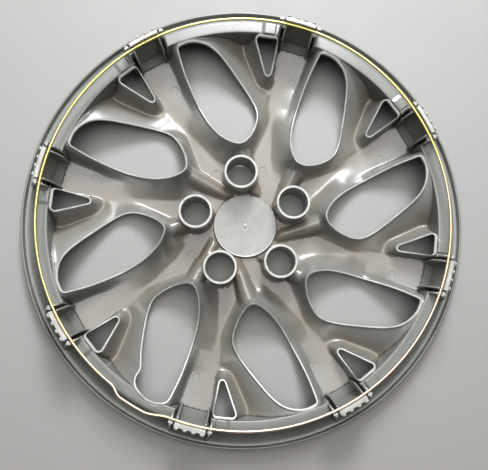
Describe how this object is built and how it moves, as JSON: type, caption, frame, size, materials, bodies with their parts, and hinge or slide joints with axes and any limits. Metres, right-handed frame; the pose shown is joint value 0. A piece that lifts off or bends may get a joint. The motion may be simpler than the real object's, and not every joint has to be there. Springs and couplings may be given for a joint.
{
  "type": "wheel cover",
  "caption": "Full-size spoked cover that snaps over a steel road wheel, held by sprung edge clips and a retaining wire.",
  "frame": {"origin": "on the wheel axis, in the plane that the crown of the face rests on", "axes": "+Z along the wheel axis towards the vehicle, so the clips point up; +X through the hub end of the first large window, 3.5 degrees past it"},
  "size_m": [0.4386, 0.4386, 0.054],
  "materials": {
    "grey_abs": "satin moulded grey plastic, unpainted back",
    "spring_wire": "yellow zinc plated spring wire"
  },
  "bodies": {
    "cover": {"hub": "grey_abs", "lug_sleeve_1": "grey_abs", "lug_sleeve_2": "grey_abs", "lug_sleeve_3": "grey_abs", "lug_sleeve_4": "grey_abs", "lug_sleeve_5": "grey_abs", "spoke_1": "grey_abs", "spoke_2": "grey_abs", "spoke_3": "grey_abs", "spoke_4": "grey_abs", "spoke_5": "grey_abs", "spoke_6": "grey_abs", "spoke_7": "grey_abs", "spoke_8": "grey_abs", "outer_ring": "grey_abs", "tension_wire": "spring_wire"},
    "clip_1": {"clip_1": "grey_abs"},
    "clip_2": {"clip_2": "grey_abs"},
    "clip_3": {"clip_3": "grey_abs"},
    "clip_4": {"clip_4": "grey_abs"},
    "clip_5": {"clip_5": "grey_abs"},
    "clip_6": {"clip_6": "grey_abs"},
    "clip_7": {"clip_7": "grey_abs"},
    "clip_8": {"clip_8": "grey_abs"}
  },
  "joints": [
    {"name": "clip_1_flex", "type": "hinge", "parent": "cover", "child": "clip_1", "pos_m": [0.17112, 0.09721, 0.0107], "axis": [0.4939, -0.8695, 0], "range_deg": [0, 4], "stiffness_Nm_per_rad": 12, "deforming": ["tension_wire"]},
    {"name": "clip_2_flex", "type": "hinge", "parent": "cover", "child": "clip_2", "pos_m": [0.05226, 0.18973, 0.0107], "axis": [0.9641, -0.2656, 0], "range_deg": [0, 4], "stiffness_Nm_per_rad": 12, "deforming": ["tension_wire"]},
    {"name": "clip_3_flex", "type": "hinge", "parent": "cover", "child": "clip_3", "pos_m": [-0.09721, 0.17112, 0.0107], "axis": [0.8695, 0.4939, 0], "range_deg": [0, 4], "stiffness_Nm_per_rad": 12, "deforming": ["tension_wire"]},
    {"name": "clip_4_flex", "type": "hinge", "parent": "cover", "child": "clip_4", "pos_m": [-0.18973, 0.05226, 0.0107], "axis": [0.2656, 0.9641, 0], "range_deg": [0, 4], "stiffness_Nm_per_rad": 12, "deforming": ["tension_wire"]},
    {"name": "clip_5_flex", "type": "hinge", "parent": "cover", "child": "clip_5", "pos_m": [-0.17112, -0.09721, 0.0107], "axis": [-0.4939, 0.8695, 0], "range_deg": [0, 4], "stiffness_Nm_per_rad": 12, "deforming": ["tension_wire"]},
    {"name": "clip_6_flex", "type": "hinge", "parent": "cover", "child": "clip_6", "pos_m": [-0.05226, -0.18973, 0.0107], "axis": [-0.9641, 0.2656, 0], "range_deg": [0, 4], "stiffness_Nm_per_rad": 12, "deforming": ["tension_wire"]},
    {"name": "clip_7_flex", "type": "hinge", "parent": "cover", "child": "clip_7", "pos_m": [0.09721, -0.17112, 0.0107], "axis": [-0.8695, -0.4939, 0], "range_deg": [0, 4], "stiffness_Nm_per_rad": 12, "deforming": ["tension_wire"]},
    {"name": "clip_8_flex", "type": "hinge", "parent": "cover", "child": "clip_8", "pos_m": [0.18973, -0.05226, 0.0107], "axis": [-0.2656, -0.9641, 0], "range_deg": [0, 4], "stiffness_Nm_per_rad": 12, "deforming": ["tension_wire"]}
  ]
}
